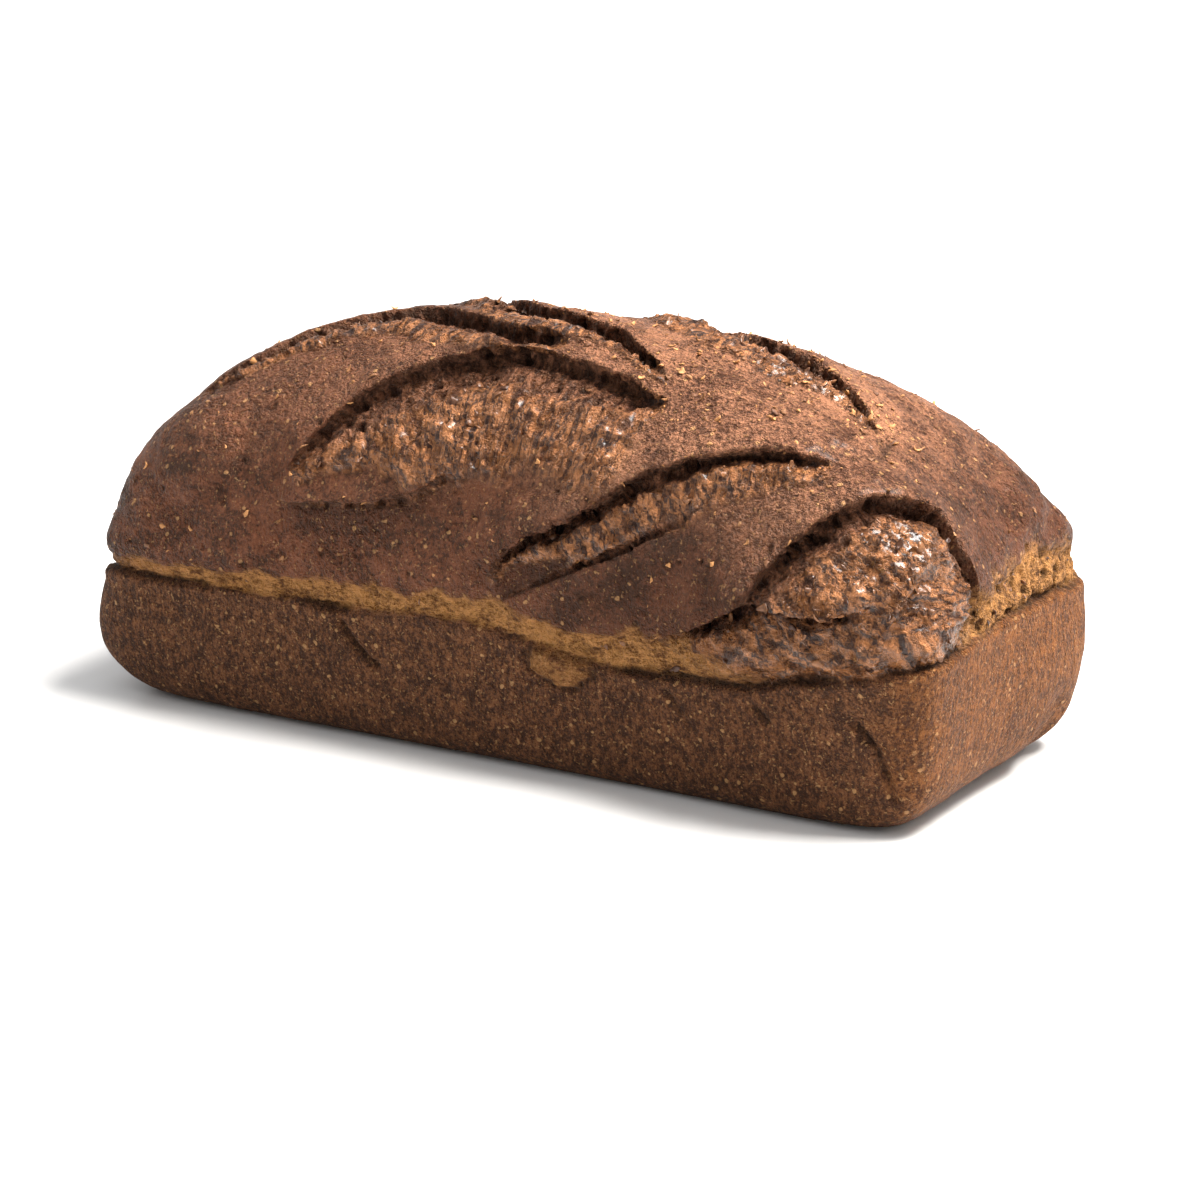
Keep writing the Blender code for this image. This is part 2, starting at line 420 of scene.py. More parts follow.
@dataclass(frozen=True)
class Seam:
    """The torn seam round the loaf: knots of (compass turn, height, band width, paleness)."""

    knots: tuple = (
        (-180.0, 0.044, 0.0050, 0.7), (-146.0, 0.042, 0.0040, 0.3),
        (-136.0, 0.042, 0.0045, 0.5), (-126.0, 0.0415, 0.0060, 1.0),
        (-112.0, 0.0425, 0.0075, 1.0), (-97.0, 0.0445, 0.0075, 1.0),
        (-88.0, 0.044, 0.0070, 1.0), (-80.0, 0.040, 0.0080, 1.0),
        (-72.0, 0.0385, 0.0100, 1.0), (-64.0, 0.039, 0.0100, 1.0),
        (-59.0, 0.0395, 0.0070, 0.5), (-54.0, 0.043, 0.0050, 0.1),
        (-45.0, 0.051, 0.0035, 0.05), (-33.0, 0.0535, 0.0060, 0.3),
        (-22.0, 0.0540, 0.0120, 1.0), (5.0, 0.0545, 0.0125, 1.0),
        (30.0, 0.053, 0.0110, 1.0), (60.0, 0.050, 0.0070, 0.9),
        (90.0, 0.047, 0.0065, 1.0), (130.0, 0.043, 0.0060, 0.8),
        (180.0, 0.044, 0.0050, 0.7),
    )

    def towards(self, turns: np.ndarray) -> list:
        """Return the lower edge's height, and the band's height and paleness, at compass turns."""
        at, *columns = zip(*self.knots)
        return [np.interp(turns, at, column) for column in columns]


NEAR_ROW = (
    Slash(((-0.117, 53.0), (-0.101, 63.0), (-0.0886, 74.0), (-0.067, 84.0),
           (-0.050, 87.0), (-0.027, 81.0), (-0.011, 77.0), (0.012, 76.0)),
          Side.RIGHT, gape=0.016, depth=0.0040, lip=0.0024, overhang=0.0010),
    Slash(((-0.071, 31.0), (-0.066, 39.0), (-0.052, 53.0), (-0.032, 64.0),
           (-0.012, 69.5), (0.013, 70.0), (0.034, 67.0), (0.051, 63.0)),
          Side.RIGHT, gape=0.041, depth=0.0038, lip=0.0026, overhang=0.0016,
          groove=0.0150, swell=0.0020, narrowing=0.30),
    Slash(((0.000, 12.0), (0.010, 24.0), (0.024, 32.0), (0.046, 44.0), (0.065, 52.0),
           (0.082, 56.0), (0.1045, 57.5)),
          Side.RIGHT, gape=0.0185, depth=0.0044, lip=0.0030, overhang=0.0018,
          groove=0.0062, swell=0.0010),
    Slash(((0.056, 2.0), (0.064, 8.0), (0.077, 15.0), (0.090, 27.0), (0.104, 41.0),
           (0.117, 52.0), (0.1345, 61.0), (0.150, 55.0), (0.160, 45.0), (0.168, 26.0)),
          Side.RIGHT, gape=0.062, depth=0.0046, lip=0.0026, overhang=0.0014,
          groove=0.0105, swell=0.0030, narrowing=0.0, runs_out=True),
)
FAR_ROW = (
    Slash(((0.049, 68.0), (0.034, 76.0), (0.020, 83.0), (0.000, 88.0), (-0.025, 97.0),
           (-0.050, 118.0), (-0.062, 140.0)),
          Side.LEFT, gape=0.017, depth=0.0042, lip=0.0018, overhang=0.0012, groove=0.0085),
    Slash(((0.1085, 75.0), (0.100, 84.0), (0.088, 92.0), (0.070, 98.0), (0.051, 103.0),
           (0.024, 118.0), (0.008, 140.0)),
          Side.LEFT, gape=0.024, depth=0.0044, lip=0.0020, overhang=0.0012, groove=0.0085),
)
FOLDS = (
    Slash(((-0.074, 26.5), (-0.051, 29.0), (-0.033, 31.4), (-0.023, 34.7), (-0.010, 39.5),
           (0.010, 43.0)),
          Side.RIGHT, depth=0.0012, lip=0.0034, overhang=0.0012, groove=0.0030,
          end_fade=0.55, brow=0.014),
    Slash(((0.002, 4.0), (0.012, 10.0), (0.025, 15.4), (0.037, 21.0), (0.051, 28.0),
           (0.064, 35.0), (0.074, 42.0), (0.084, 50.0)),
          Side.LEFT, depth=0.0026, lip=0.0014, overhang=0.0012, groove=0.0040, end_fade=0.45),
    Slash(((0.078, 15.0), (0.084, 19.5), (0.093, 21.0), (0.102, 20.0), (0.115, 20.5),
           (0.130, 24.0)),
          Side.RIGHT, depth=0.0032, lip=0.0046, overhang=0.0026, groove=0.0045, end_fade=0.4),
    Slash(((-0.046, 94.0), (-0.025, 88.0), (-0.005, 84.0), (0.010, 81.0)),
          Side.RIGHT, depth=0.0014, lip=0.0012, overhang=0.0008, groove=0.0030, end_fade=0.3),
)
CRACKS = (
    Crack(((-0.050, -0.058, 0.038), (-0.045, -0.058, 0.031), (-0.038, -0.057, 0.026)),
          0.0011, 0.0024),
    Crack(((0.119, -0.055, 0.034), (0.125, -0.055, 0.027), (0.128, -0.055, 0.018),
           (0.130, -0.055, 0.009)), 0.0010, 0.0022),
    Crack(((0.088, -0.056, 0.034), (0.092, -0.056, 0.030)), 0.0012, 0.0016),
    Crack(((0.105, -0.032, 0.099), (0.110, -0.022, 0.101), (0.108, -0.014, 0.103)), 0.0009, 0.0012),
    Crack(((0.060, -0.058, 0.034), (0.068, -0.058, 0.024)), 0.0010, 0.0012),
)
LUMPS = (
    Lump((0.045, 0.001, 0.122), 0.0035, 0.0030),
    Lump((-0.105, -0.050, 0.082), 0.0200, 0.0022),
    Lump((-0.121, -0.036, 0.066), 0.0130, -0.0012),
    Lump((-0.092, -0.057, 0.058), 0.0150, 0.0010),
    Lump((0.131, 0.028, 0.080), 0.0130, 0.0020),
    Lump((0.136, 0.042, 0.068), 0.0090, 0.0014),
    Lump((0.133, 0.012, 0.078), 0.0060, -0.0010),
    Lump((0.139, 0.030, 0.014), 0.0120, -0.0020),
)
SCAB = Lump((0.026, -0.058, 0.037), 0.0085, 0.0014)


@dataclass
class Skin:
    """A surface under the baker's hands: its points, outward normals and what each point is."""

    points: np.ndarray
    normals: np.ndarray
    masks: dict = field(default_factory=dict)


@dataclass(frozen=True)
class Baking:
    """Shapes and marks a loaf's skin as its baking did."""

    form: LoafForm = LoafForm()
    seam: Seam = Seam()
    slashes: tuple = NEAR_ROW + FAR_ROW + FOLDS
    cracks: tuple = CRACKS
    lumps: tuple = LUMPS
    grain: Grain = Grain(7)
    split_depth: float = 0.0026
    band_depth: float = 0.0014
    under_rise: float = 0.0005
    brow_rise: float = 0.0009
    flap_edge_depth: float = 0.0012
    crinkle_rise: float = 0.00190
    rubble_rise: float = 0.00090
    torn_rise: float = 0.00095
    swell_rise: float = 0.00085
    wall_swell_rise: float = 0.0004
    pimple_rise: float = 0.00042
    wall_pimple_rise: float = 0.00018
    hole_depth: float = 0.0018
    pore_depth: float = 0.0005

    def _across(self, points: np.ndarray) -> np.ndarray:
        """Return the unit direction round the loaf, up its near side, at each point."""
        turns = self.form.turns(points)
        return np.stack([np.zeros(len(points)), np.sin(turns), np.cos(turns)], axis=1)

    def slash_fields(self, slash: Slash, points: np.ndarray) -> dict:
        """Work out everything about a slash at the points near it.

        Args:
            slash: The slash.
            points: The places on the skin.

        Returns:
            Which points are near, and for those the share and distance along the slash, the
            distance across it with a ragged edge, its strength, its groove's and its opening's
            width, and the direction in space towards its opened side.
        """
        spots = self.form.chart(points)
        near = slash.near(spots, self.form)
        places = points[near]
        share, along, across, facing = slash.place(spots[near], self.form)
        ragged = 0.0009 * self.grain.fractal(places, 0.008, 4, 0.6)
        strength = ease(0.0, slash.start_fade, share) * ease(0.012, 0.030, places[:, 2])
        if not slash.runs_out:
            strength = strength * ease(1.0, 1.0 - slash.end_fade, share)
        toward = self._across(places) * facing[:, 1:2]
        toward[:, 0] += facing[:, 0]
        band, wide = slash.widths(share)
        return {
            "near": near,
            "share": share,
            "along": along,
            "across": across + ragged,
            "strength": strength,
            "band": band,
            "wide": wide,
            "toward": unit(toward),
        }

    def cut(self, skin: Skin) -> None:
        """Open every slash in a skin: lift its lip, sink its groove and swell its opened face."""
        lift = np.zeros(len(skin.points))
        slide = np.zeros_like(skin.points)
        for slash in self.slashes:
            f = self.slash_fields(slash, skin.points)
            near, across, strength = f["near"], f["across"], f["strength"]
            places = skin.points[near]
            uneven = 1.0 + 0.4 * self.grain.smooth(places, 0.016)
            lump = 1.0 + 0.5 * self.grain.fractal(places, 0.009, 2)
            below = 1.0 - ease(0.0, 0.0013, across)
            ridge = np.where(across < 0.0, bell(across, slash.brow), below)
            down = np.clip(across / f["band"], 0.0, 1.0)
            sunk = ease(0.0, 0.0015, across) * (1.0 - ease(0.0, 1.0, down)) ** 0.8
            start = f["band"] * 0.6
            over = np.clip((across - start) / (f["wide"] - start), 0.0, 1.0)
            swollen = np.sin(np.pi * over) ** 0.8
            lifted = slash.lip * ridge - slash.depth * uneven * sunk
            if slash.gape > 0.0:
                lifted = lifted + slash.swell * lump * swollen
            above = ease(-0.0005, 0.003, self._seam_fields(places)[0])
            strength = strength * above * slash.calm(f["share"])
            lift[near] += strength * lifted
            below = 1.0 - ease(0.0, 0.0012, across)
            reach = np.where(across < 0.0, bell(across, 0.0065), below)
            slide[near] += f["toward"] * (slash.overhang * strength * reach * uneven)[:, None]
        skin.points += skin.normals * lift[:, None] + slide

    def _seam_fields(self, points: np.ndarray) -> tuple:
        """Return each point's height over the seam, and the torn band's height and paleness."""
        height, width, pale = self.seam.towards(self.form.compass(points))
        over = points[:, 2] - height + 0.0016 * self.grain.fractal(points, 0.013, 4, 0.6)
        width = width * (1.0 + 0.45 * self.grain.fractal(points + 0.3, 0.011, 4, 0.6))
        return over, width, pale

    def _scab_away(self, points: np.ndarray) -> np.ndarray:
        """Return how far each point is from the middle of the pale flap under the seam."""
        away = np.linalg.norm((points - np.array(SCAB.centre)) * np.array([0.72, 1.0, 1.1]), axis=1)
        return away + 0.38 * SCAB.radius * self.grain.fractal(points, 0.009, 4, 0.6)

    def _scab_rim(self, points: np.ndarray, over: np.ndarray) -> np.ndarray:
        """Return how near each point is to the flap's sunken lower edge, where the finish paints
        shade, from 0 to 1.
        """
        return bell(self._scab_away(points) - SCAB.radius, 0.0010) * ease(0.001, -0.004, over)

    def tear(self, skin: Skin) -> None:
        """Tear the seam where the dome left the tin, and press the cracks and lumps."""
        over, width, _ = self._seam_fields(skin.points)
        open_share = 0.6 + 0.8 * self.grain.smooth(skin.points + 0.2, 0.016)
        split = self.split_depth * np.clip(open_share, 0.0, 1.3) * bell(over, 0.0010)
        band = ease(-0.0004, 0.0008, over) * (1.0 - ease(width * 0.75, width * 1.2, over))
        brow = bell(over - width - 0.0045, 0.0050)
        lift = self.under_rise * bell(over + 0.0022, 0.002) - split
        lift = lift - self.band_depth * band + self.brow_rise * brow
        for crack in self.cracks:
            away = crack.distance(skin.points) + 0.0005 * self.grain.fractal(skin.points, 0.004, 2)
            lift -= crack.depth * bell(away, crack.width)
        rim = self._scab_rim(skin.points, over)
        flap = ease(SCAB.radius, SCAB.radius * 0.7, self._scab_away(skin.points))
        lift += SCAB.rise * flap * ease(0.0, -0.0015, over) - self.flap_edge_depth * rim
        for lump in self.lumps:
            away = np.linalg.norm(skin.points - np.array(lump.centre), axis=1)
            away = away + 0.12 * lump.radius * self.grain.fractal(skin.points, 0.005, 2)
            lift += lump.rise * ease(lump.radius, lump.radius * 0.45, away)
        skin.points += skin.normals * lift[:, None]

    def mark(self, skin: Skin, plain: np.ndarray) -> None:
        """Note what each point of a skin is.

        Args:
            skin: The skin, whose masks this fills.
            plain: Each point's place on the form before it was cut.
        """
        count = len(plain)
        opened, groove, shaded_groove_band, pull, under = (np.zeros(count) for _ in range(5))
        fibre = np.stack([plain[:, 0] * 0.5, plain[:, 1], plain[:, 2]], axis=1)
        for slash in self.slashes:
            f = self.slash_fields(slash, plain)
            near, across, strength = f["near"], f["across"], f["strength"]
            places = plain[near]
            wander = 0.22 * self.grain.fractal(places, 0.012, 4, 0.6)
            face = 1.0 - ease(0.84, 1.04, across / f["wide"] + wander)
            face = ease(0.0002, 0.0012, across) * face
            face = face * ease(0.02, 0.25, strength) * (1.0 if slash.gape > 0.0 else 0.6)
            # Painted shade: the thin line right under each lip, which the finish paints near black.
            dark = ease(0.0, 0.0006, across) * (1.0 - ease(0.0009, 0.0026, across + 0.004 * wander))
            # Painted shade: the band under each lip, which the finish darkens in colour.
            painted_shade = ease(0.0, 0.0008, across) * (1.0 - ease(0.55, 1.15, across / f["band"] + wander))
            edged = strength * slash.calm(f["share"])
            # Painted shade: below a fold's lip the finish darkens the crust.
            if slash.gape == 0.0:
                below = 1.0 - ease(0.002, 0.020, across + 0.01 * wander)
                below = ease(0.0, 0.0015, across) * below * edged
                under[near] = np.maximum(under[near], below)
            groove[near] = np.maximum(groove[near], dark * edged)
            shaded_groove_band[near] = np.maximum(shaded_groove_band[near], painted_shade * edged)
            opened[near] = np.maximum(opened[near], face)
            grown = np.stack([f["along"], across * 0.38, np.zeros(len(near))], axis=1)
            fibre[near] = np.where((face > pull[near])[:, None], grown, fibre[near])
            pull[near] = np.maximum(pull[near], face)
        over, width, pale = self._seam_fields(plain)
        for mask in (opened, groove, shaded_groove_band):
            mask *= ease(-0.0008, 0.0010, over)
        torn = ease(-0.0006, 0.0006, over) * (1.0 - ease(width * 0.85, width * 1.25, over))
        scab = ease(SCAB.radius, SCAB.radius * 0.8, self._scab_away(plain))
        # Painted shade: the finish paints the cracks, the flap's lower edge and the seam's split
        # near black.
        crack = np.max([bell(c.distance(plain), c.width) for c in self.cracks], axis=0)
        rim = self._scab_rim(plain, over)
        broken = np.clip(0.50 + 2.4 * self.grain.smooth(plain + 0.2, 0.016), 0.0, 1.0)
        split = bell(over, 0.0009) * broken
        # Painted light: the "top" mask lightens the upper dome where the key light falls, less and
        # less towards the left end.
        lit_towards_right = 0.18 + 0.82 * ease(-0.075, 0.040, plain[:, 0])
        crown = plain[:, 2] + 0.012 * self.grain.fractal(plain, 0.030, 3)
        skin.masks = {
            "opened": opened,
            "groove": groove,
            "shaded_groove_band": shaded_groove_band,
            "top": ease(0.072, 0.106, crown) * lit_towards_right,
            "under": under,
            "shred": torn * pale * (1.0 - 0.7 * opened * ease(0.6, 0.2, pale)),
            "scab": scab * (1.0 - torn),
            "wall": 1.0 - ease(-0.0010, 0.0006, over),
            "crack": np.maximum(np.maximum(crack, 0.85 * rim), split),
            "fibre_u": fibre[:, 0],
            "fibre_v": fibre[:, 1],
            "fibre_w": fibre[:, 2],
        }
        bare = (1.0 - opened) * (1.0 - shaded_groove_band) * (1.0 - skin.masks["shred"])
        skin.masks["crust"] = bare * (0.06 + 0.94 * (1.0 - skin.masks["wall"]))
        ragged = opened * (1.0 - 0.6 * shaded_groove_band) + 0.5 * skin.masks["shred"]
        skin.masks["ragged"] = np.clip(ragged, 0.0, 1.0)
        holes, pores = self.holes(skin.masks, plain)
        skin.masks["hole"] = np.clip(holes + 0.8 * pores, 0.0, 1.0)

    def holes(self, masks: dict, plain: np.ndarray) -> tuple:
        """Return the big torn holes and the fine pores, from 0 to 1, at each point."""
        holes = 1.0 - ease(0.16, 0.40, self.grain.pits(plain, 0.0056))
        pores = 1.0 - ease(0.08, 0.17, self.grain.pits(plain + 0.5, 0.0060))
        dome = (1.0 - masks["wall"]) * (1.0 - masks["opened"]) * (1.0 - masks["shred"])
        frayed = masks["shred"] * (0.25 + 0.75 * ease(0.120, 0.136, plain[:, 0]))
        return holes * np.clip(masks["shaded_groove_band"] + frayed, 0.0, 1.0), pores * dome

    def roughen(self, skin: Skin, plain: np.ndarray) -> None:
        """Raise the fine relief of each kind of skin: wrinkles, crumb, pores and grain.

        Args:
            skin: The skin, already marked.
            plain: Each point's place on the form before it was cut.
        """
        m = skin.masks
        grain = self.grain
        fibre = np.stack([m["fibre_u"], m["fibre_v"], m["fibre_w"]], axis=1)
        crinkle = grain.creased(fibre, 0.0040, 3) - 0.45
        crinkle = crinkle + 0.8 * (grain.creased(plain, 0.0046, 2) - 0.45)
        rubble = grain.fractal(plain, 0.0034, 3, 0.65)
        strands = grain.creased(plain * np.array([1.0, 1.0, 0.22]), 0.0034, 2) - 0.45
        rubble = rubble + 1.5 * strands * m["shred"] * ease(0.120, 0.136, plain[:, 0])
        holes, pores = self.holes(m, plain)
        swell = grain.fractal(plain, 0.026, 3)
        pimply = grain.fractal(plain, 0.0046, 2, 0.6)
        dome = (1.0 - m["wall"]) * (1.0 - m["opened"]) * (1.0 - m["shred"])
        height = self.swell_rise * swell * (1.0 - m["wall"])
        height += self.wall_swell_rise * swell * m["wall"]
        height += self.crinkle_rise * crinkle * m["opened"] * (1.0 - 0.3 * m["shaded_groove_band"])
        height += self.rubble_rise * rubble * m["shaded_groove_band"]
        height -= self.hole_depth * holes
        height += self.torn_rise * rubble * np.maximum(m["shred"], 0.6 * m["scab"])
        height += dome * self.pimple_rise * pimply - self.pore_depth * pores
        height += self.wall_pimple_rise * pimply * m["wall"]
        height *= ease(0.0, 0.004, plain[:, 2])
        skin.points += skin.normals * height[:, None]


# ---------------------------------------------------------------------------------------------
# Meshes


def pick_none() -> None:
    """Deselect everything."""
    for item in bpy.context.selected_objects:
        item.select_set(False)


def pick_only(piece: bpy.types.Object) -> None:
    """Deselect everything, then select one piece and make it active."""
    pick_none()
    piece.select_set(True)
    bpy.context.view_layer.objects.active = piece


def apply_modifier(piece: bpy.types.Object, kind: str, **settings: object) -> None:
    """Add a modifier of a kind with its settings to a piece, and apply it."""
    pick_only(piece)
    modifier = piece.modifiers.new(kind.lower(), kind)
    for name, value in settings.items():
        setattr(modifier, name, value)
    bpy.ops.object.modifier_apply(modifier=modifier.name)


def read(items: object, name: str, width: int = 3) -> np.ndarray:
    """Return a property of each of a mesh's items, as rows of a width."""
    values = np.empty(len(items) * width, np.float32)
    items.foreach_get(name, values)
    return values.reshape(-1, width).astype(float)


def read_points(mesh: bpy.types.Mesh) -> np.ndarray:
    """Return a mesh's points, one row each."""
    return read(mesh.vertices, "co")


def read_normals(mesh: bpy.types.Mesh) -> np.ndarray:
    """Return the outward normal at each of a mesh's points."""
    return read(mesh.vertex_normals, "vector")


def read_field(mesh: bpy.types.Mesh, name: str) -> np.ndarray:
    """Return the numbers that a mesh stores for its points under a name."""
    return read(mesh.attributes[name].data, "value", 1)[:, 0]


def write_points(mesh: bpy.types.Mesh, points: np.ndarray) -> None:
    """Move a mesh's points to new places."""
    mesh.vertices.foreach_set("co", points.astype(np.float32).ravel())
    mesh.update()


def write_field(mesh: bpy.types.Mesh, name: str, values: np.ndarray) -> None:
    """Store one number or one vector for each of a mesh's points under a name."""
    vectors = values.ndim == 2
    made = mesh.attributes.new(name, "FLOAT_VECTOR" if vectors else "FLOAT", "POINT")
    made.data.foreach_set("vector" if vectors else "value", values.astype(np.float32).ravel())


@dataclass
class Loaf:
    """The whole loaf as one closed skin, from a block of dough to its baked relief."""

    low: Vector
    high: Vector
    baking: Baking = Baking()
    block_cuts: int = 56
    first_voxel: float = 0.0012
    second_voxel: float = 0.00074
    most_faces: int = 192000
    piece: bpy.types.Object = None

    def block(self) -> None:
        """Add a block of dough at the loaf's size and place, and cut its faces into a grid."""
        pick_none()
        size = self.high - self.low
        centre = (self.high + self.low) / 2
        bpy.ops.mesh.primitive_cube_add(size=1.0, location=centre, scale=size)
        self.piece = bpy.context.active_object
        self.piece.name = "baked_loaf"
        bpy.ops.object.transform_apply(location=True, rotation=True, scale=True)
        bpy.ops.object.mode_set(mode="EDIT")
        bpy.ops.mesh.select_all(action="SELECT")
        bpy.ops.mesh.subdivide(number_cuts=self.block_cuts)
        bpy.ops.object.mode_set(mode="OBJECT")

    def prove(self) -> None:
        """Let the block rise into the loaf's plain form, in even cells."""
        mesh = self.piece.data
        write_points(mesh, self.baking.form.cast(read_points(mesh)))
        apply_modifier(self.piece, "REMESH", mode="VOXEL", voxel_size=self.first_voxel)

    def bake(self) -> None:
        """Open the slashes and the seam, then even out the cells again."""
        mesh = self.piece.data
        plain = read_points(mesh)
        skin = Skin(plain.copy(), read_normals(mesh))
        self.baking.cut(skin)
        self.baking.tear(skin)
        skin.points[:, 2] = np.maximum(skin.points[:, 2], 0.0)
        write_field(mesh, "plain", plain)
        write_points(mesh, skin.points)
        pick_only(self.piece)
        mesh.remesh_voxel_size = self.second_voxel
        mesh.use_remesh_preserve_attributes = True
        bpy.ops.object.voxel_remesh()

    def clean(self) -> None:
        """Delete every crumb that the cuts left loose from the loaf or shut inside it."""
        mesh = self.piece.data
        tip = int(np.argmax(read_points(mesh)[:, 0]))
        pick_only(self.piece)
        bpy.ops.object.mode_set(mode="EDIT")
        bpy.context.tool_settings.mesh_select_mode = (True, False, False)
        bpy.ops.mesh.select_all(action="DESELECT")
        bpy.ops.object.mode_set(mode="OBJECT")
        mesh.vertices[tip].select = True
        bpy.ops.object.mode_set(mode="EDIT")
        bpy.ops.mesh.select_linked()
        bpy.ops.mesh.select_all(action="INVERT")
        bpy.ops.mesh.delete(type="VERT")
        bpy.ops.object.mode_set(mode="OBJECT")

    def crisp(self) -> None:
        """Raise the fine relief, keep the mesh under its limit and store what each point is."""
        mesh = self.piece.data
        plain = read(mesh.attributes["plain"].data, "vector")
        skin = Skin(read_points(mesh), read_normals(mesh))
        self.baking.mark(skin, plain)
        self.baking.roughen(skin, plain)
        skin.points[:, 2] = np.where(skin.points[:, 2] < 0.0003, 0.0, skin.points[:, 2])
        write_points(mesh, skin.points)
        triangles = sum(len(face.vertices) - 2 for face in mesh.polygons)
        apply_modifier(self.piece, "DECIMATE", ratio=min(1.0, self.most_faces / triangles))
        mesh = self.piece.data
        plain = read(mesh.attributes["plain"].data, "vector")
        skin = Skin(read_points(mesh), read_normals(mesh))
        self.baking.mark(skin, plain)
        mesh.attributes.remove(mesh.attributes["plain"])
        fibre = np.stack([skin.masks.pop(key) for key in ("fibre_u", "fibre_v", "fibre_w")], axis=1)
        write_field(mesh, "fibre", fibre)
        for name, values in skin.masks.items():
            write_field(mesh, name, values)
        mesh.shade_smooth()

    def build(self) -> bpy.types.Object:
        """Make the loaf from block to relief, and return it."""
        for step in (self.block, self.prove, self.bake, self.clean, self.crisp):
            step()
            log.info("%s: %d points", step.__name__, len(self.piece.data.vertices))
        return self.piece


@dataclass(frozen=True)
class Spot:
    """A place where loose bits gather: its centre, its radius and how thickly they lie."""

    centre: tuple
    radius: float
    weight: float


@dataclass(frozen=True)
class Chips:
    """Many small closed chips sunk in the crust: bran flakes, or torn bits of dough."""

    name: str
    count: int
    smallest: float
    largest: float
    lean: tuple
    spots: tuple
    ground: str
    background: float
    seed: int
    thickness: float = 0.26

    def _chip(self) -> tuple:
        """Add one round chip, take its points and faces, and clear it away."""
        pick_none()
        bpy.ops.mesh.primitive_ico_sphere_add(subdivisions=2, radius=1.0, location=(0.0, 0.0, 0.0))
        chip = bpy.context.active_object
        points = read_points(chip.data)
        faces = np.array([list(face.vertices) for face in chip.data.polygons])
        bpy.data.objects.remove(chip, do_unlink=True)
        return points, faces

    def _choose(self, loaf: bpy.types.Object, dice: np.random.Generator) -> tuple:
        """Choose where on the crust the chips lie.

        Args:
            loaf: The finished loaf.
            dice: The seeded random numbers.

        Returns:
            The chips' places and the crust's outward normals there.
        """
        points, normals = read_points(loaf.data), read_normals(loaf.data)
        ground = read_field(loaf.data, self.ground)
        shy = np.clip(read_field(loaf.data, "groove") + read_field(loaf.data, "crack"), 0.0, 1.0)
        weight = np.full(len(points), self.background)
        for spot in self.spots:
            away = np.linalg.norm(points - np.array(spot.centre), axis=1)
            weight += spot.weight * bell(away, spot.radius)
        weight *= ground * (1.0 - shy) * ease(0.004, 0.012, points[:, 2])
        picked = dice.choice(len(points), self.count, replace=False, p=weight / weight.sum())
        return points[picked], normals[picked]

    def build(self, loaf: bpy.types.Object) -> bpy.types.Object:
        """Scatter the chips over a loaf, and return them as one piece."""
        dice = np.random.default_rng(self.seed)
        chip, faces = self._chip()
        places, ups = self._choose(loaf, dice)
        all_points, shades = [], []
        for place, up in zip(places, ups):
            size = self.smallest + (self.largest - self.smallest) * dice.random() ** 2.2
            lobes = np.cos(3.0 * np.arctan2(chip[:, 1], chip[:, 0]) + dice.uniform(0.0, 6.3))
            ragged = 1.0 + 0.30 * lobes + 0.35 * dice.standard_normal(3) @ chip.T
            ragged = ragged + 0.12 * dice.standard_normal(len(chip))
            shape = chip * np.array([1.0, dice.uniform(0.30, 0.8), self.thickness])
            shape = shape * ragged[:, None].clip(0.45, 1.6)
            curl = dice.uniform(-0.7, 0.7) * shape[:, 0] ** 2
            shape[:, 2] += curl + dice.uniform(-0.4, 0.4) * shape[:, 1]
            lean = math.radians(dice.uniform(*self.lean))
            turn = dice.uniform(0.0, 2.0 * math.pi)
            side = unit(np.cross(up, dice.standard_normal(3))[None])[0]
            ahead = np.cross(up, side)
            first = side * math.cos(turn) + ahead * math.sin(turn)
            second = np.cross(up, first)
            tipped = first * math.cos(lean) + up * math.sin(lean)
            top = np.cross(tipped, second)
            spun = shape[:, :1] * tipped + shape[:, 1:2] * second + shape[:, 2:] * top
            rise = 0.30 * math.sin(lean) + 0.05
            all_points.append(place + size * (spun + rise * up))
            shades.append(np.full(len(chip), dice.random()))
        mesh = bpy.data.meshes.new(self.name)
        steps = (np.arange(self.count) * len(chip))[:, None, None]
        corners = (faces[None] + steps).reshape(-1, 3).tolist()
        mesh.from_pydata(np.concatenate(all_points), [], corners)
        write_field(mesh, "shade", np.concatenate(shades))
        mesh.shade_smooth()
        piece = bpy.data.objects.new(self.name, mesh)
        bpy.context.scene.collection.objects.link(piece)
        return piece


BRAN_FLAKES = Chips(
    "bran_flakes", count=640, smallest=0.00035, largest=0.0013, lean=(0.0, 40.0), ground="crust",
    background=0.10, seed=11,
    spots=(
        Spot((0.052, -0.030, 0.114), 0.014, 1.6),
        Spot((0.100, -0.008, 0.107), 0.010, 3.4),
        Spot((0.078, -0.006, 0.115), 0.016, 1.8),
        Spot((0.050, -0.004, 0.122), 0.014, 1.6),
        Spot((0.000, -0.008, 0.124), 0.018, 0.8),
        Spot((0.090, -0.030, 0.105), 0.020, 0.4),
    ),
)
TORN_BITS = Chips(
    "torn_bits", count=520, smallest=0.0004, largest=0.0016, lean=(10.0, 60.0), ground="ragged",
    background=0.12, seed=23, thickness=0.16,
    spots=(
        Spot((0.112, -0.046, 0.076), 0.024, 0.6),
        Spot((0.075, -0.047, 0.090), 0.016, 0.7),
        Spot((-0.005, -0.044, 0.103), 0.016, 0.5),
        Spot((0.137, 0.000, 0.060), 0.020, 0.6),
        Spot((0.085, -0.004, 0.112), 0.016, 0.8),
    ),
)


# ---------------------------------------------------------------------------------------------
# Finishes


def operator(operation: str, swapped: bool = False) -> Callable:
    """Return a method that joins two signals or numbers by a Math node.

    Args:
        operation: The Math node's operation.
        swapped: Whether the other number comes first, as in an operator's reflected form.

    Returns:
        The method.
    """
    def method(self: "Signal", other: object) -> "Signal":
        """Add the Math node and return its result."""
        node = self.tree.nodes.new("ShaderNodeMath")
        node.operation = operation
        for slot, value in zip(node.inputs, (other, self) if swapped else (self, other)):
            if isinstance(value, Signal):
                self.tree.links.new(value.socket, slot)
            else:
                slot.default_value = float(value)
        return Signal(self.tree, node.outputs[0])

    return method


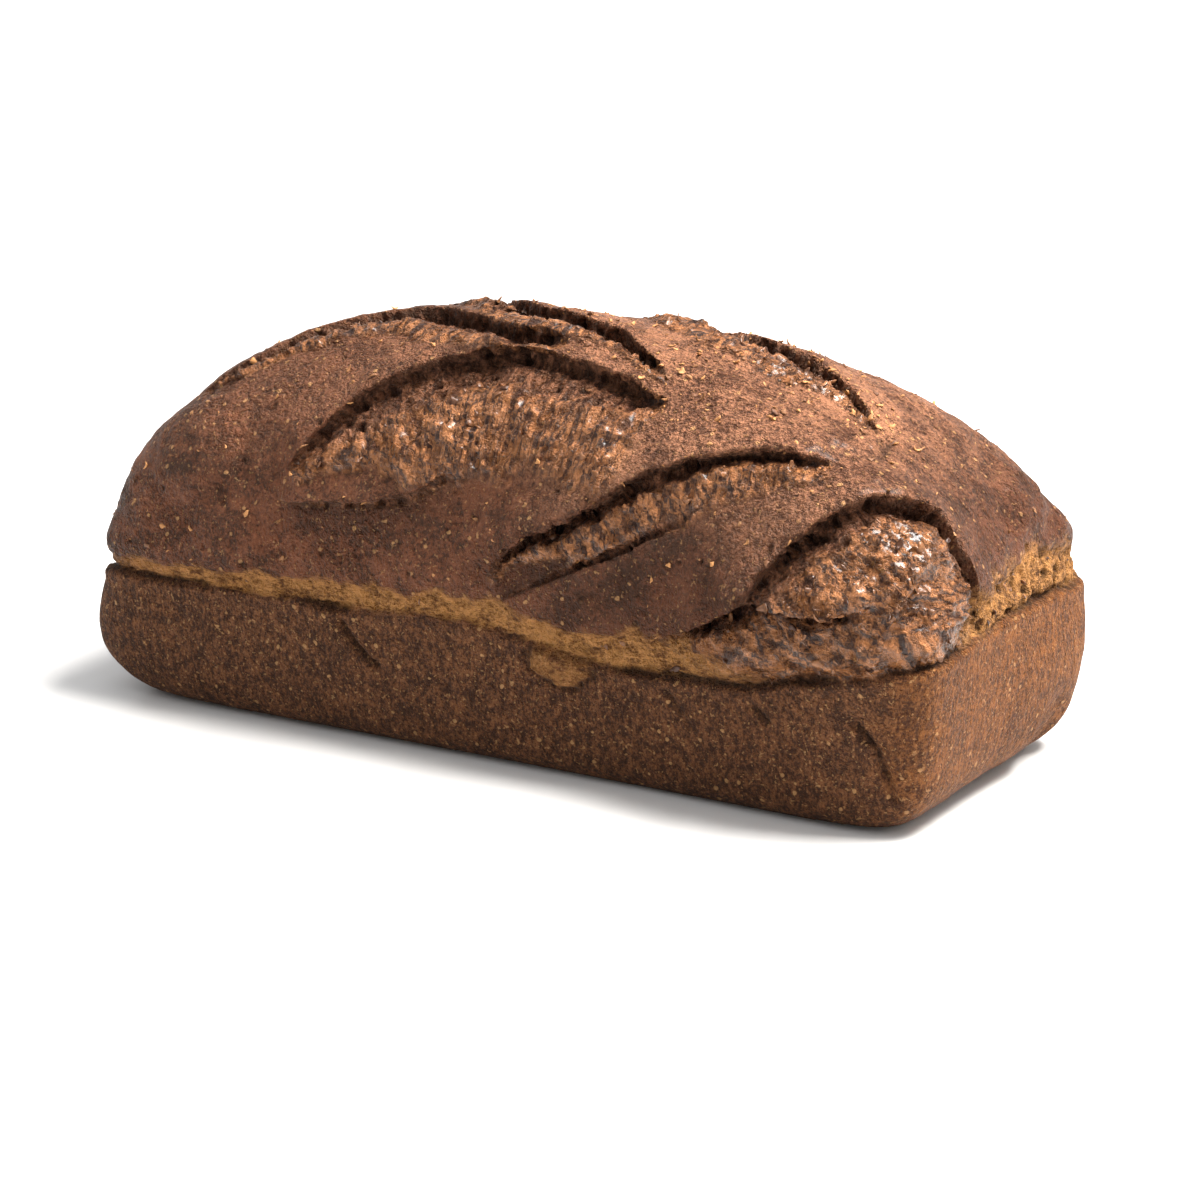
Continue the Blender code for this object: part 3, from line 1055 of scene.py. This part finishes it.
@dataclass(frozen=True)
class Signal:
    """A number that varies over a surface: Python's operators on it add Math nodes."""

    tree: bpy.types.NodeTree
    socket: Socket

    __add__ = operator("ADD")
    __radd__ = operator("ADD", swapped=True)
    __sub__ = operator("SUBTRACT")
    __rsub__ = operator("SUBTRACT", swapped=True)
    __mul__ = operator("MULTIPLY")
    __rmul__ = operator("MULTIPLY", swapped=True)
    top = operator("MAXIMUM")
    low = operator("MINIMUM")


@dataclass
class Recipe:
    """A material in the making: its node tree and the few kinds of node that finishes share."""

    name: str
    material: bpy.types.Material = None
    tree: bpy.types.NodeTree = None
    shader: bpy.types.Node = None

    def __post_init__(self) -> None:
        """Make the material with its Principled shader."""
        self.material = bpy.data.materials.new(self.name)
        self.material.use_nodes = True
        self.tree = self.material.node_tree
        self.shader = self.tree.nodes["Principled BSDF"]

    def node(self, kind: str, settings: dict, inputs: dict) -> bpy.types.Node:
        """Add a node.

        Args:
            kind: The node's type.
            settings: Its settings, set before its sockets.
            inputs: Values or signals for its sockets, by name or number.

        Returns:
            The node.
        """
        made = self.tree.nodes.new(kind)
        for name, value in settings.items():
            setattr(made, name, value)
        for key, value in inputs.items():
            self.feed(made.inputs[key], value)
        return made

    def feed(self, slot: Socket, value: object) -> None:
        """Give a socket a value, or a link from a signal or another socket."""
        if isinstance(value, Signal):
            self.tree.links.new(value.socket, slot)
        elif isinstance(value, Socket):
            self.tree.links.new(value, slot)
        else:
            slot.default_value = value

    def field(self, name: str) -> Signal:
        """Return a number stored on the mesh's points."""
        stored = self.node("ShaderNodeAttribute", {"attribute_name": name}, {})
        return Signal(self.tree, stored.outputs["Fac"])

    def vector_field(self, name: str) -> Socket:
        """Return a vector stored on the mesh's points."""
        return self.node("ShaderNodeAttribute", {"attribute_name": name}, {}).outputs["Vector"]

    def here(self) -> Socket:
        """Return the Object coordinates."""
        return self.node("ShaderNodeTexCoord", {}, {}).outputs["Object"]

    def stretched(self, vector: Socket, scale: tuple) -> Socket:
        """Return coordinates scaled, for a pattern that is longer one way."""
        return self.node("ShaderNodeMapping", {}, {"Vector": vector, "Scale": scale}).outputs[0]

    def vector(self, operation: str, inputs: dict, output: str = "Vector") -> Socket:
        """Return an output of a Vector Math node."""
        made = self.node("ShaderNodeVectorMath", {"operation": operation}, inputs)
        return made.outputs[output]

    def warped(self, vector: Socket, size: float, reach: float) -> Socket:
        """Return coordinates pushed about by noise of a size, to a reach in metres."""
        noise = self.node("ShaderNodeTexNoise", {}, {"Vector": vector, "Scale": 1.0 / size})
        push = self.vector("SCALE", {0: noise.outputs["Color"], "Scale": reach})
        return self.vector("ADD", {0: vector, 1: push})

    def noise(self, vector: Socket, size: float, detail: float = 2.0, rough: float = 0.5,
              twist: float = 0.0) -> Signal:
        """Return noise from 0 to 1 whose hills stand a size in metres apart."""
        inputs = {"Vector": vector, "Scale": 1.0 / size, "Detail": detail,
                  "Roughness": rough, "Distortion": twist}
        return Signal(self.tree, self.node("ShaderNodeTexNoise", {}, inputs).outputs["Fac"])

    def cells(self, vector: Socket, size: float, output: str = "Distance") -> Socket:
        """Return an output of a cell pattern whose cells stand a size in metres apart."""
        made = self.node("ShaderNodeTexVoronoi", {}, {"Vector": vector, "Scale": 1.0 / size})
        return made.outputs[output]

    def climb(self, value: Signal, low: float, high: float) -> Signal:
        """Return a smooth climb from 0 at low to 1 at high, or a fall where low is the larger."""
        ends = {"From Min": low, "From Max": high, "To Min": 0.0, "To Max": 1.0}
        if low > high:
            ends = {"From Min": high, "From Max": low, "To Min": 1.0, "To Max": 0.0}
        smooth = {"interpolation_type": "SMOOTHSTEP"}
        made = self.node("ShaderNodeMapRange", smooth, {"Value": value, **ends})
        return Signal(self.tree, made.outputs["Result"])

    def blend(self, share: Signal, first: object, second: object) -> Socket:
        """Return a colour that goes from the first to the second as the share goes from 0 to 1."""
        settings = {"data_type": "RGBA", "clamp_factor": True}
        made = self.node("ShaderNodeMix", settings, {"Factor": share})
        for key, value in (("A", first), ("B", second)):
            slot = next(s for s in made.inputs if s.name == key and s.type == "RGBA")
            self.feed(slot, (*value, 1.0) if isinstance(value, tuple) else value)
        return next(s for s in made.outputs if s.type == "RGBA")

    def raise_by(self, height: Signal, strength: float, depth: float) -> None:
        """Bump the surface by a height, to a depth in metres."""
        inputs = {"Height": height, "Strength": strength, "Distance": depth}
        bump = self.node("ShaderNodeBump", {}, inputs)
        self.feed(self.shader.inputs["Normal"], bump.outputs["Normal"])

    def single(self, socket: Socket) -> Signal:
        """Return a colour socket's first channel as a signal."""
        made = self.node("ShaderNodeSeparateXYZ", {}, {"Vector": socket})
        return Signal(self.tree, made.outputs[0])


@dataclass(frozen=True)
class BakedCrust:
    """The loaf's finish: dark satin dome, crinkled glossy openings, sandy walls and a tan seam."""

    # The dome comes in two copies of one mottled crust: a darker one with painted shade for its
    # lower rolls, and a lighter one with painted light for its top.
    shaded_roll: tuple = ((0.026, 0.008, 0.004), (0.190, 0.064, 0.030))
    top: tuple = ((0.066, 0.023, 0.012), (0.380, 0.165, 0.086))
    wall: tuple = ((0.030, 0.011, 0.006), (0.215, 0.086, 0.035))
    end: tuple = ((0.060, 0.019, 0.007), (0.270, 0.097, 0.025))
    opened: tuple = ((0.030, 0.008, 0.003), (0.540, 0.215, 0.078))
    # Painted shade colours, for the band under each lip and for the pits.
    painted_shade: tuple = ((0.030, 0.012, 0.008), (0.360, 0.160, 0.095))
    shred: tuple = ((0.100, 0.038, 0.012), (0.560, 0.262, 0.084))
    crevice_shade: tuple = (0.006, 0.003, 0.002)
    relief_depth: float = 0.0034
    coat_roughness: float = 0.24
    specular: float = 0.34
    specular_tint: tuple = (1.0, 0.68, 0.50, 1.0)
    bran: tuple = (0.600, 0.320, 0.130)

    def make(self) -> bpy.types.Material:
        """Return the material."""
        r = Recipe("baked_crust")
        here = r.here()
        fibre = r.vector_field("fibre")
        opened, groove, shaded_groove_band, top = (r.field(n) for n in ("opened", "groove", "shaded_groove_band", "top"))
        shred, wall, crack = (r.field(n) for n in ("shred", "wall", "crack"))
        hole, scab = (r.field(n) for n in ("hole", "scab"))
        place = r.node("ShaderNodeSeparateXYZ", {}, {"Vector": here})
        along, height = Signal(r.tree, place.outputs[0]), Signal(r.tree, place.outputs[2])
        bent = r.warped(here, 0.0022, 0.0016)
        broad = r.noise(here, 0.040, 3.0, 0.6)
        patch = r.noise(here, 0.009, 3.0, 0.6)
        sandy = r.noise(here, 0.0019, 3.0, 0.85)
        fine = r.noise(here, 0.0009, 2.0, 0.8)
        pebbly = r.noise(here, 0.0038, 2.0, 0.5)
        wrinkle = r.noise(r.stretched(bent, (1.0, 0.45, 0.45)), 0.0026, 2.0, 0.6)
        crinkle = r.noise(fibre, 0.0021, 4.0, 0.75, 0.6)
        strand = r.noise(r.stretched(bent, (0.6, 1.0, 1.8)), 0.0030, 3.0, 0.8)
        upright = r.noise(r.stretched(here, (1.0, 1.0, 0.5)), 0.0017, 3.0, 0.85)

        mottle = r.climb(broad * 0.20 + patch * 0.24 + sandy * 0.32 + fine * 0.24, 0.42, 0.59)
        shaded_rolls = r.blend(mottle, *self.shaded_roll)
        # Painted shade: the rolls darken towards the right and, away from the lit top, higher up.
        shaded_rolls = r.blend(r.climb(along, -0.03, 0.05) * 0.45, shaded_rolls, self.shaded_roll[0])
        shaded_rolls = r.blend(r.climb(height, 0.085, 0.110) * (1.0 - top) * 0.55, shaded_rolls, self.shaded_roll[0])
        # Painted light: the top gets the lighter copy of the crust, by the "top" mask.
        lit_tops = r.blend(mottle, *self.top)
        dome = r.blend(top, shaded_rolls, lit_tops)
        wall_mix = r.climb(upright * 0.50 + fine * 0.35 + patch * 0.15, 0.42, 0.64)
        walls = r.blend(wall_mix, *self.wall)
        toasted = r.climb(along + (patch - 0.5) * 0.03, 0.120, 0.143)
        end_mix = r.climb(upright * 0.45 + fine * 0.40 + patch * 0.15, 0.41, 0.61)
        ends = r.blend(end_mix, *self.end)
        walls = r.blend(toasted, walls, ends)
        # The opened faces' colour follows the same crinkle as their bump: painted shade in its
        # valleys and painted light on its crests, over the dough's own orange-brown.
        faces = r.blend(r.climb(crinkle, 0.40, 0.62), *self.opened)
        torn_mix = r.climb(sandy * 0.35 + strand * 0.40 + patch * 0.25, 0.40, 0.57)
        torn = r.blend(torn_mix, *self.shred)
        # Painted shade for the band under each lip, mottled.
        painted_shade = r.blend(r.climb(sandy * 0.6 + crinkle * 0.4, 0.42, 0.66), *self.painted_shade)

        flake = Signal(r.tree, r.cells(bent, 0.0036))
        flake_pick = r.single(r.cells(bent, 0.0036, "Color"))
        flakes = r.climb(flake, 0.24, 0.16) * r.climb(flake_pick, 0.70, 0.74)
        specks = r.climb(r.noise(here, 0.0011, 1.0, 0.5), 0.63, 0.72)
        # Painted shade: the pits, sunk in the bump, are darkened towards the shade colour.
        pits = r.climb(r.noise(bent, 0.0024, 2.0, 0.6), 0.36, 0.27)
        colour = r.blend(wall, dome, walls)
        colour = r.blend(pits * 0.60, colour, self.painted_shade[0])
        # Painted shade below each fold's lip.
        colour = r.blend(r.field("under") * 0.60, colour, self.shaded_roll[0])
        colour = r.blend(specks * (0.34 + 0.06 * wall), colour, self.bran)
        colour = r.blend(flakes * 0.60, colour, self.bran)
        colour = r.blend(opened * (0.55 + 0.45 * r.climb(patch, 0.35, 0.60)), colour, faces)
        # Painted shade laid over the band under each lip.
        colour = r.blend(shaded_groove_band * 0.82, colour, painted_shade)
        colour = r.blend(shred.top(scab * 0.42) * 0.95, colour, torn)
        # Painted shade: the line under each lip, the cracks and the holes go near black.
        dark = (groove * 0.42).top(crack * 0.85).top(hole * 0.85).low(1.0)
        colour = r.blend(dark, colour, self.crevice_shade)
        r.feed(r.shader.inputs["Base Color"], colour)

        rough = 0.54 + 0.30 * (sandy - 0.5) + 0.20 * wall - 0.19 * opened + 0.25 * shred.top(scab)
        r.feed(r.shader.inputs["Roughness"], rough)
        gloss = (1.0 - wall) * (1.0 - shaded_groove_band) * (1.0 - shred) * (0.04 + 0.06 * top + 0.50 * opened)
        gloss = gloss * r.climb(patch, 0.30, 0.62)
        r.feed(r.shader.inputs["Coat Weight"], gloss.low(1.0).top(0.0))
        r.shader.inputs["Coat Roughness"].default_value = self.coat_roughness
        r.shader.inputs["Specular IOR Level"].default_value = self.specular
        r.shader.inputs["Specular Tint"].default_value = self.specular_tint
        relief = 0.75 * sandy + 0.55 * fine + 0.80 * pebbly + 0.60 * wrinkle * (1.0 - wall)
        relief = relief + 0.50 * wall * upright + 1.60 * opened * crinkle + 0.9 * shred * sandy
        relief = relief + 0.18 * flakes + 0.12 * specks - 0.35 * pits
        r.raise_by(relief, 1.0, self.relief_depth)
        return r.material


@dataclass(frozen=True)
class ChipFinish:
    """The finish of small chips, each with its own shade between two colours."""

    name: str
    dark: tuple
    light: tuple
    roughness: float

    def make(self) -> bpy.types.Material:
        """Return the material."""
        r = Recipe(self.name)
        grain = r.noise(r.here(), 0.0007, 2.0, 0.6)
        share = r.climb(r.field("shade") * 0.75 + grain * 0.5, 0.20, 1.00)
        r.feed(r.shader.inputs["Base Color"], r.blend(share, self.dark, self.light))
        r.shader.inputs["Roughness"].default_value = self.roughness
        r.shader.inputs["Specular IOR Level"].default_value = 0.35
        r.raise_by(grain, 0.6, 0.0003)
        return r.material


BRAN = ChipFinish("bran", (0.110, 0.042, 0.018), (0.500, 0.230, 0.080), 0.6)
TORN_DOUGH = ChipFinish("torn_dough", (0.040, 0.014, 0.007), (0.220, 0.092, 0.036), 0.34)


@dataclass(frozen=True)
class StudioWhite:
    """The glossy white sweep that the loaf stands on."""

    colour: tuple = (0.86, 0.86, 0.86)
    roughness: float = 0.22
    glow: float = 0.55
    glow_from: float = 0.60
    glow_full: float = 2.60

    def make(self) -> bpy.types.Material:
        """Return the material."""
        r = Recipe("studio_white")
        r.shader.inputs["Base Color"].default_value = (*self.colour, 1.0)
        r.shader.inputs["Roughness"].default_value = self.roughness
        r.shader.inputs["Specular IOR Level"].default_value = 0.35
        away = Signal(r.tree, r.vector("LENGTH", {0: r.here()}, "Value"))
        share = r.climb(away, self.glow_from, self.glow_full)
        r.feed(r.shader.inputs["Emission Color"], r.blend(share, (0.0, 0.0, 0.0), (1.0, 1.0, 1.0)))
        r.shader.inputs["Emission Strength"].default_value = self.glow
        return r.material


# ---------------------------------------------------------------------------------------------
# The studio


@dataclass(frozen=True)
class SoftBox:
    """A square soft light that looks at a target."""

    name: str
    place: tuple
    target: tuple
    size: float
    watts: float
    colour: tuple = (1.0, 1.0, 1.0)

    def build(self) -> bpy.types.Object:
        """Add the light and return it."""
        lamp = bpy.data.lights.new(self.name, "AREA")
        lamp.shape = "SQUARE"
        lamp.size = self.size
        lamp.energy = self.watts
        lamp.color = self.colour
        light = bpy.data.objects.new(self.name, lamp)
        light.location = self.place
        aim = Vector(self.target) - Vector(self.place)
        light.rotation_euler = aim.to_track_quat("-Z", "Y").to_euler()
        bpy.context.scene.collection.objects.link(light)
        return light


SOFT_BOXES = (
    SoftBox("overhead", place=(0.52, 0.20, 1.14), target=(0.0, 0.0, 0.05), size=0.6, watts=53.0,
            colour=(1.0, 0.97, 0.93)),
    SoftBox("right_side", place=(1.20, 0.10, 0.75), target=(0.05, 0.0, 0.05), size=0.6, watts=3.0,
            colour=(1.0, 0.94, 0.86)),
    SoftBox("ceiling", place=(0.0, 0.0, 5.0), target=(0.0, 0.01, 0.0), size=12.0, watts=310.0),
)


@dataclass(frozen=True)
class Studio:
    """A pale floor, soft lights and the camera."""

    target: tuple = (0.0064, 0.0, 0.0381)
    azimuth: float = 29.8
    elevation: float = 16.9
    distance: float = 1.0
    lens: float = 98.6
    floor_side: float = 24.0
    zenith_strength: float = 0.26
    horizon_strength: float = 0.95

    def floor(self) -> bpy.types.Object:
        """Add the floor and return it."""
        pick_none()
        bpy.ops.mesh.primitive_plane_add(size=self.floor_side, location=(0.0, 0.0, 0.0))
        floor = bpy.context.active_object
        floor.name = "studio_floor"
        floor.data.materials.append(StudioWhite().make())
        return floor

    def camera(self) -> bpy.types.Object:
        """Add the camera and return it."""
        azimuth, elevation = math.radians(self.azimuth), math.radians(self.elevation)
        back = Vector((
            math.sin(azimuth) * math.cos(elevation),
            -math.cos(azimuth) * math.cos(elevation),
            math.sin(elevation),
        ))
        view = bpy.data.cameras.new("camera")
        view.lens = self.lens
        view.sensor_width = 36.0
        view.clip_start = 0.01
        camera = bpy.data.objects.new("camera", view)
        camera.location = Vector(self.target) + back * self.distance
        camera.rotation_euler = (-back).to_track_quat("-Z", "Y").to_euler()
        bpy.context.scene.collection.objects.link(camera)
        bpy.context.scene.camera = camera
        return camera

    def lights(self) -> None:
        """Add the soft boxes and the white surround."""
        for box in SOFT_BOXES:
            box.build()
        self.surround()

    def surround(self) -> None:
        """Add a white surround that is bright at the horizon and dim overhead."""
        world = bpy.data.worlds.new("studio_world")
        world.use_nodes = True
        tree = world.node_tree
        background = tree.nodes["Background"]
        background.inputs["Color"].default_value = (1.0, 1.0, 1.0, 1.0)
        way = tree.nodes.new("ShaderNodeTexCoord")
        height = tree.nodes.new("ShaderNodeSeparateXYZ")
        fade = tree.nodes.new("ShaderNodeMapRange")
        tree.links.new(way.outputs["Generated"], height.inputs["Vector"])
        tree.links.new(height.outputs["Z"], fade.inputs["Value"])
        for name, value in (("From Min", 0.10), ("From Max", 0.40),
                            ("To Min", self.horizon_strength), ("To Max", self.zenith_strength)):
            fade.inputs[name].default_value = value
        tree.links.new(fade.outputs["Result"], background.inputs["Strength"])
        bpy.context.scene.world = world

    def build(self) -> None:
        """Set up the studio."""
        self.floor()
        self.camera()
        self.lights()
        bpy.context.scene.view_settings.view_transform = "Standard"


def hand_over(piece: bpy.types.Object) -> None:
    """Hand a finished piece to the frame, as part of the loaf's looks."""
    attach(piece, "root")
    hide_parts(NODE)
    log.info("%s: %d faces", piece.name, len(piece.data.polygons))


def main() -> None:
    """Build the loaf and its studio, and hand the loaf to the frame."""
    logging.basicConfig(level=logging.INFO, format="%(name)s: %(message)s")
    low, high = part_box(NODE)
    loaf = Loaf(low, high).build()
    loaf.data.materials.append(BakedCrust().make())
    hand_over(loaf)
    for chips, finish in ((BRAN_FLAKES, BRAN), (TORN_BITS, TORN_DOUGH)):
        piece = chips.build(loaf)
        piece.data.materials.append(finish.make())
        hand_over(piece)
    Studio().build()


if __name__ == "__main__":
    main()
